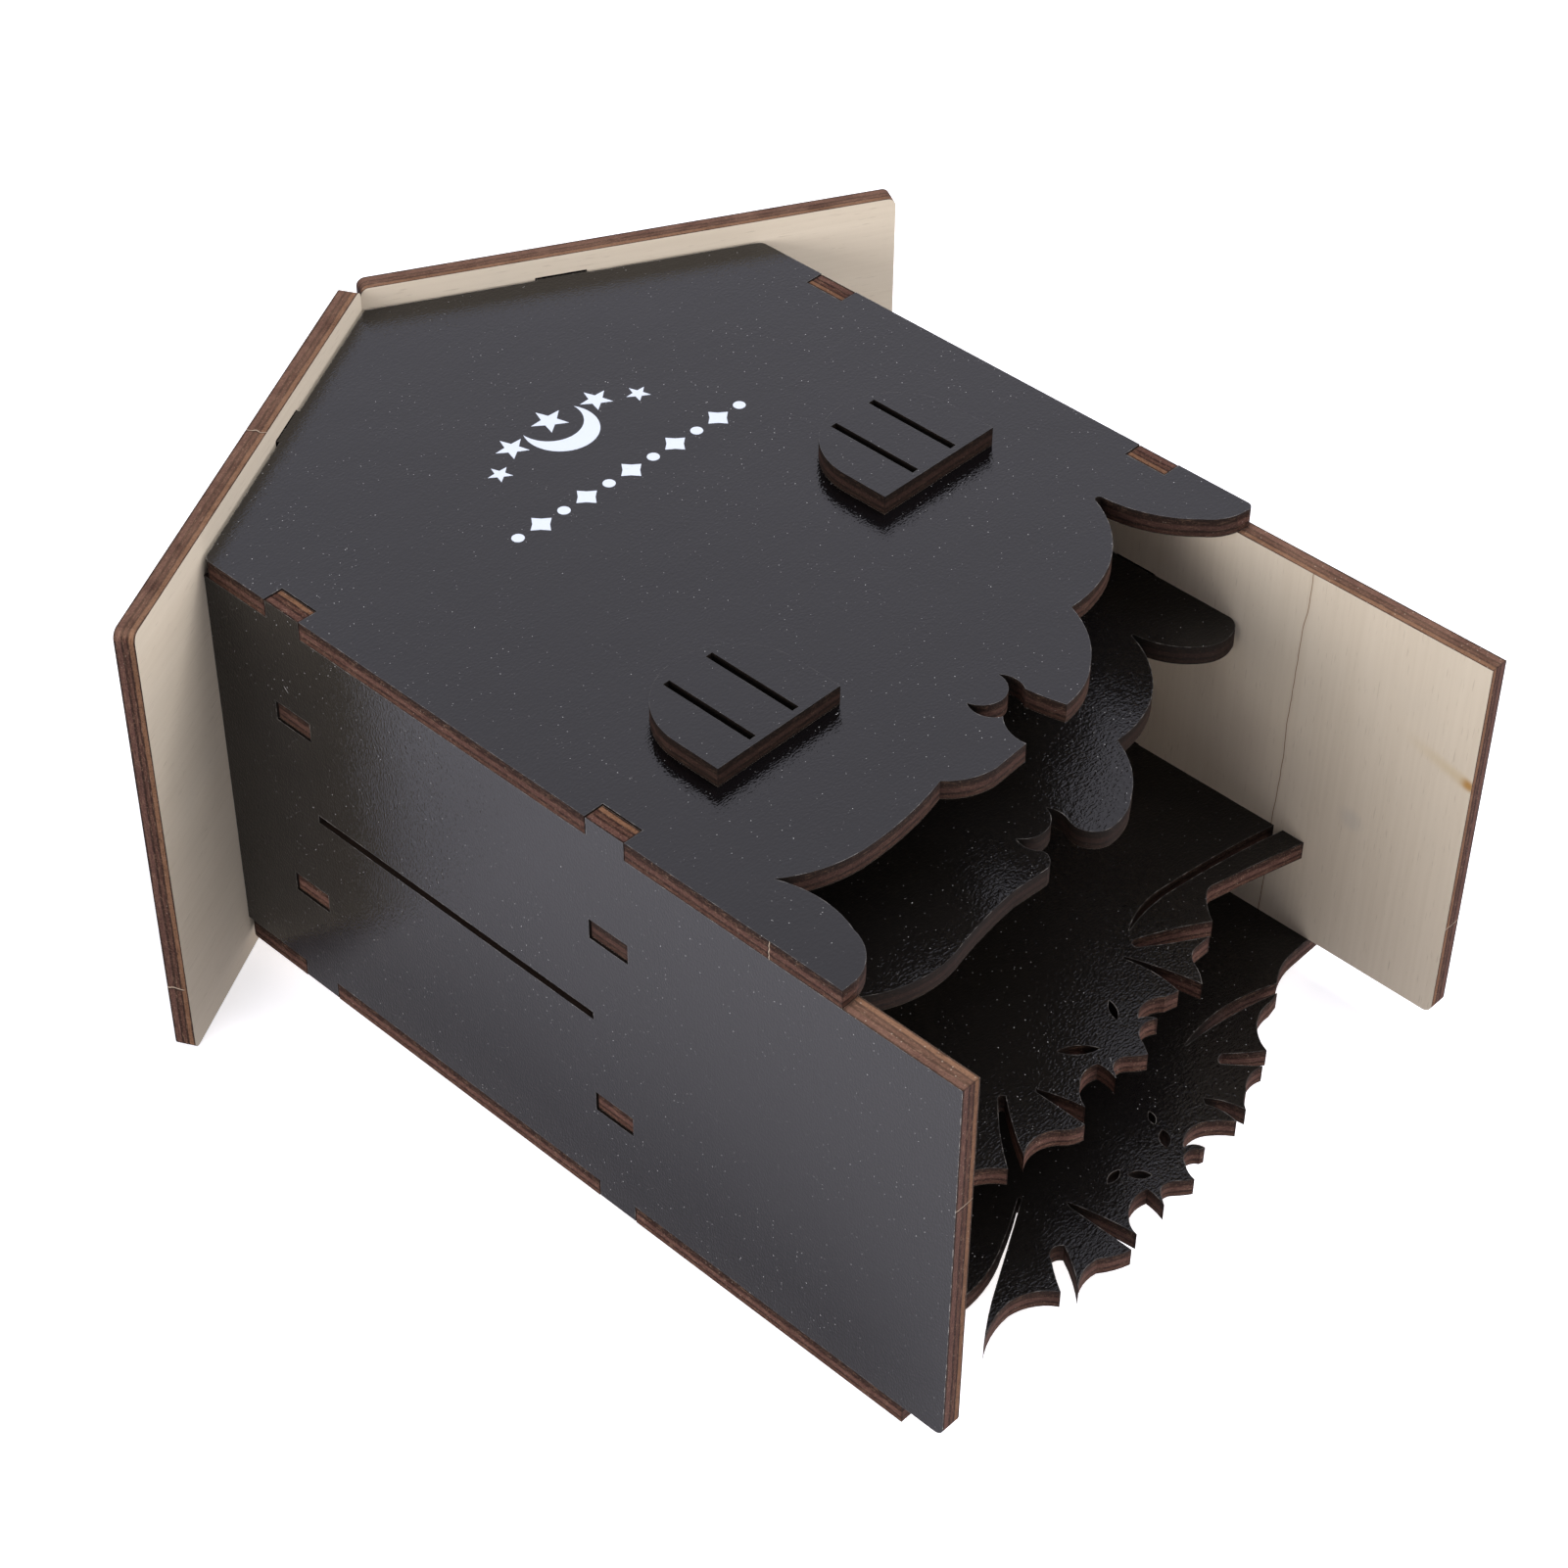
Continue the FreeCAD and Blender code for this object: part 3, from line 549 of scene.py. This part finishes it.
def dress_panel(name, outward, grain, wear, outer_soot, inner_soot, seed):
    """Gives a panel its printed face, its bare face and its cut edges."""
    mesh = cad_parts[name].data
    axes = (grain, outward.cross(grain), outward)
    printed_plane = max(outward.dot(vertex.co) for vertex in mesh.vertices)
    marks = wall_marks if name == "right_side" else None
    layers = FRONT_LAYERS if outward == -BACK else WALL_LAYERS
    splits = SPLITS.get(name, ())
    mesh.materials.clear()
    mesh.materials.append(printed_face(name + "_print", axes, seed, wear, name in INNER_PANELS))
    mesh.materials.append(bare_face(name + "_bare", axes, seed, marks))
    for part, sooty in (("_edge", outer_soot), ("_inner_edge", inner_soot)):
        mesh.materials.append(cut_edge(name + part, outward, printed_plane, seed, layers, sooty, splits))
    for polygon in mesh.polygons:
        polygon.material_index = slot_of(polygon, outward)


for number, (panel_name, dressing) in enumerate(PANELS.items()):
    dress_panel(panel_name, *dressing, seed=float(number))


# White print on the front: a moon among stars over a row of beads
PRINT_THICKNESS = 0.05 * MM


def white_print():
    """Matt white ink, a little worn."""
    look = Look("white_print")
    worn = look.noise(look.place, scale=900.0, detail=3.0)
    cloud = look.noise(look.place, scale=60.0, detail=2.0)
    colour = look.mix(look.times(look.step(worn, 0.66, 0.80), 0.5), PRINT, PRINT_WORN)
    colour = look.mix(look.times(cloud, 0.15), colour, PRINT_CLOUD)
    return look.finish(colour, 0.45, look.bump(worn, 0.02 * MM), specular=0.4)


PRINT_MATERIAL = white_print()


def print_shape(name, outline):
    """Thin flat ink shape on the front face. The outline is a list of (x, z) corners in order."""
    mesh = bpy.data.meshes.new(name)
    piece = bpy.data.objects.new(name, mesh)
    bpy.context.scene.collection.objects.link(piece)
    build = bmesh.new()
    corners = [build.verts.new((x, front_low.y, z)) for x, z in outline]
    build.faces.new(corners)
    bmesh.ops.recalc_face_normals(build, faces=build.faces)
    made = bmesh.ops.extrude_face_region(build, geom=list(build.faces))
    raised = [item for item in made["geom"] if isinstance(item, bmesh.types.BMVert)]
    bmesh.ops.translate(build, verts=raised, vec=(0, -PRINT_THICKNESS, 0))
    bmesh.ops.recalc_face_normals(build, faces=build.faces)
    build.to_mesh(mesh)
    build.free()
    mesh.materials.append(PRINT_MATERIAL)
    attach(piece, "root")


def arc(centre, radius, start, end, steps):
    """Points on a circle from one angle to another, in degrees."""
    angles = [math.radians(start + (end - start) * step / steps) for step in range(steps + 1)]
    return [(centre[0] + radius * math.cos(angle), centre[1] + radius * math.sin(angle))
            for angle in angles]


def circle(centre, radius, corners=24):
    """Corners of a whole circle."""
    return arc(centre, radius, 0, 360 - 360 / corners, corners - 1)


def star(centre, radius, points=5, waist=0.42):
    """Star with one point straight up. waist is the share of the radius between two points."""
    corners = []
    for step in range(points * 2):
        reach = radius if step % 2 == 0 else radius * waist
        angle = math.radians(90 + 180 / points * step)
        corners.append((centre[0] + reach * math.cos(angle), centre[1] + reach * math.sin(angle)))
    return corners


def crescent(centre, radius, bite, shift):
    """Moon lying on its back: a round edge below and a shallower bite above."""
    lift = (radius ** 2 - bite ** 2 + shift ** 2) / (2 * shift)
    half = math.sqrt(radius ** 2 - lift ** 2)
    outer_tip = math.degrees(math.atan2(lift, half))
    inner_tip = math.degrees(math.atan2(lift - shift, half))
    outside = arc(centre, radius, 180 - outer_tip, 360 + outer_tip, 40)
    inside = arc((centre[0], centre[1] + shift), bite, inner_tip, -180 - inner_tip, 40)
    return outside + inside[1:-1]


MOON_HEIGHT = 201.5 * MM
MOON_RADIUS = 9.0 * MM
MOON_BITE = 8.0 * MM
MOON_SHIFT = 4.0 * MM
STAR_LIFT = 4.0 * MM
STAR_RADIUS = 4.6 * MM
SIDE_STAR_RADII = (4.1 * MM, 3.0 * MM)
SIDE_STAR_ANGLES = (22.95, 39.95)
STAR_ARC_RADIUS = 34.0 * MM
STAR_ARC_TOP = MOON_HEIGHT + 5.0 * MM
BEAD_LINE = 178.5 * MM
BEAD_PITCH = 7.0 * MM
BEAD_PAIRS = 5
BEAD_RADIUS = 1.5 * MM
DIAMOND_RADIUS = 3.2 * MM
DIAMOND_WAIST = 0.62


def print_moon_and_stars():
    """Moon with a star in its hollow and two smaller ones on either side, on an arc."""
    print_shape("print_moon", crescent((0.0, MOON_HEIGHT), MOON_RADIUS, MOON_BITE, MOON_SHIFT))
    print_shape("print_star_middle", star((0.0, MOON_HEIGHT + STAR_LIFT), STAR_RADIUS))
    for side, side_name in ((-1, "left"), (1, "right")):
        for step, (radius, lean) in enumerate(zip(SIDE_STAR_RADII, SIDE_STAR_ANGLES), start=1):
            angle = math.radians(90 - side * lean)
            place = (STAR_ARC_RADIUS * math.cos(angle),
                     STAR_ARC_TOP + STAR_ARC_RADIUS * (math.sin(angle) - 1))
            print_shape("print_star_%s_%d" % (side_name, step), star(place, radius))


def print_beads():
    """Row of diamonds and round beads in turn."""
    for step in range(-BEAD_PAIRS, BEAD_PAIRS + 1):
        place = (step * BEAD_PITCH, BEAD_LINE)
        if step % 2 == 0:
            shape = star(place, DIAMOND_RADIUS, points=4, waist=DIAMOND_WAIST)
        else:
            shape = circle(place, BEAD_RADIUS)
        print_shape("print_bead_%d" % (step + BEAD_PAIRS), shape)


print_moon_and_stars()
print_beads()

# Camera, as the photograph was taken: from below, to the left and well to the front
CAMERA_PLACE = Vector((-0.43944, -0.53338, -0.28554))
VIEW_AZIMUTH = math.radians(-39.07)
VIEW_ELEVATION = math.radians(-30.80)
VIEW_ROLL = math.radians(57.26)
FOCAL_LENGTH = 80.45
SENSOR_WIDTH = 36.0
NEAREST_SEEN = 0.01
FARTHEST_SEEN = 20.0


def make_camera():
    """Camera at its place, turned by azimuth, elevation and roll."""
    data = bpy.data.cameras.new("camera")
    data.sensor_width = SENSOR_WIDTH
    data.lens = FOCAL_LENGTH
    data.clip_start = NEAREST_SEEN
    data.clip_end = FARTHEST_SEEN
    camera = bpy.data.objects.new("camera", data)
    backward = Vector((math.sin(VIEW_AZIMUTH) * math.cos(VIEW_ELEVATION),
                       -math.cos(VIEW_AZIMUTH) * math.cos(VIEW_ELEVATION),
                       math.sin(VIEW_ELEVATION)))
    level_right = UP.cross(backward).normalized()
    level_up = backward.cross(level_right)
    right = level_right * math.cos(VIEW_ROLL) - level_up * math.sin(VIEW_ROLL)
    up = backward.cross(right)
    turn = Matrix((right, up, backward)).transposed()
    camera.matrix_world = Matrix.Translation(CAMERA_PLACE) @ turn.to_4x4()
    bpy.context.scene.collection.objects.link(camera)
    bpy.context.scene.camera = camera


make_camera()

# Stage: the box lies on its back on a pale floor, which shows from above only
FLOOR_SIZE = 6.0
FLOOR_GAP = 0.2 * MM
FLOOR_GLOW = 0.62
FLOOR_SHADE = (0.93, 0.91, 0.99)


def make_floor():
    """Square floor just behind the box."""
    mesh = bpy.data.meshes.new("floor")
    half = FLOOR_SIZE / 2
    level = cad_high.y + FLOOR_GAP
    middle = (cad_low.z + cad_high.z) / 2
    corners = [(-half, level, middle - half), (half, level, middle - half),
               (half, level, middle + half), (-half, level, middle + half)]
    mesh.from_pydata(corners, [], [(0, 1, 2, 3)])
    mesh.materials.append(floor_material())
    floor = bpy.data.objects.new("floor", mesh)
    bpy.context.scene.collection.objects.link(floor)


def floor_material():
    """White to the camera, plain and shadowed in reflections, and clear to the room's light."""
    material = bpy.data.materials.new("floor")
    material.use_nodes = True
    tree = NodeTree(material.node_tree)
    tree.nodes.clear()
    path = tree.nodes.new("ShaderNodeLightPath")
    to_camera = path.outputs["Is Camera Ray"]
    below = tree.nodes.new("ShaderNodeNewGeometry").outputs["Backfacing"]
    matt = tree.nodes.new("ShaderNodeBsdfDiffuse")
    glow = tree.nodes.new("ShaderNodeEmission")
    seen = tree.nodes.new("ShaderNodeAddShader")
    clear = tree.nodes.new("ShaderNodeBsdfTransparent")
    pick = tree.nodes.new("ShaderNodeMixShader")
    out = tree.nodes.new("ShaderNodeOutputMaterial")
    looked_at = tree.larger(to_camera, path.outputs["Is Glossy Ray"])
    tree.put(matt.inputs["Color"], FLOOR_SHADE + (1.0,))
    tree.put(glow.inputs["Strength"], tree.times(to_camera, FLOOR_GLOW))
    tree.put(seen.inputs[0], matt.outputs[0])
    tree.put(seen.inputs[1], glow.outputs[0])
    tree.put(pick.inputs["Fac"], tree.times(looked_at, tree.minus(1.0, below)))
    tree.put(pick.inputs[1], clear.outputs[0])
    tree.put(pick.inputs[2], seen.outputs[0])
    tree.put(out.inputs["Surface"], pick.outputs[0])
    return material


make_floor()

# Light: a dim room that is white behind the box and in reflections, a soft lamp over the box, one to
# its left, one below it, and the light that a pale floor throws back
ROOM_LIGHT = 0.25
ROOM_MIRRORED = 1.02
ROOM_SEEN = 1.20
ROOM_COLOUR = (0.91, 0.89, 1.0)
LAMP_DISTANCE = 1.2

# Name, direction from the middle of the box, side of the square and power in watts
LAMPS = [
    ("over_box", (0.32, -0.92, -0.20), 0.7, 12.0),
    ("left_of_box", (-0.96, -0.25, 0.0), 0.75, 14.5),
    ("below_box", (0.30, -0.21, -0.93), 0.75, 8.2),
    ("floor_bounce", (-0.30, 0.70, -0.65), 1.3, 7.2),
]


def make_room():
    """World whose strength depends on whether it is seen, mirrored or only lights the box."""
    world = bpy.data.worlds.new("room")
    world.use_nodes = True
    bpy.context.scene.world = world
    tree = NodeTree(world.node_tree)
    path = tree.nodes.new("ShaderNodeLightPath")
    seen = tree.times(path.outputs["Is Camera Ray"], ROOM_SEEN)
    mirrored = tree.times(path.outputs["Is Glossy Ray"], ROOM_MIRRORED)
    background = tree.nodes["Background"]
    tree.put(background.inputs["Color"], ROOM_COLOUR + (1.0,))
    tree.put(background.inputs["Strength"], tree.larger(tree.larger(seen, mirrored), ROOM_LIGHT))


def soft_lamp(name, direction, size, power):
    """Square lamp that looks at the middle of the box from a direction."""
    data = bpy.data.lights.new(name, "AREA")
    data.shape = "SQUARE"
    data.size = size
    data.energy = power
    lamp = bpy.data.objects.new(name, data)
    middle = (cad_low + cad_high) / 2
    toward = Vector(direction).normalized()
    lamp.location = middle + toward * LAMP_DISTANCE
    lamp.rotation_mode = "QUATERNION"
    lamp.rotation_quaternion = toward.to_track_quat("Z", "Y")
    lamp.visible_glossy = False
    bpy.context.scene.collection.objects.link(lamp)


make_room()
for lamp_values in LAMPS:
    soft_lamp(*lamp_values)

bpy.context.scene.view_settings.view_transform = "Standard"
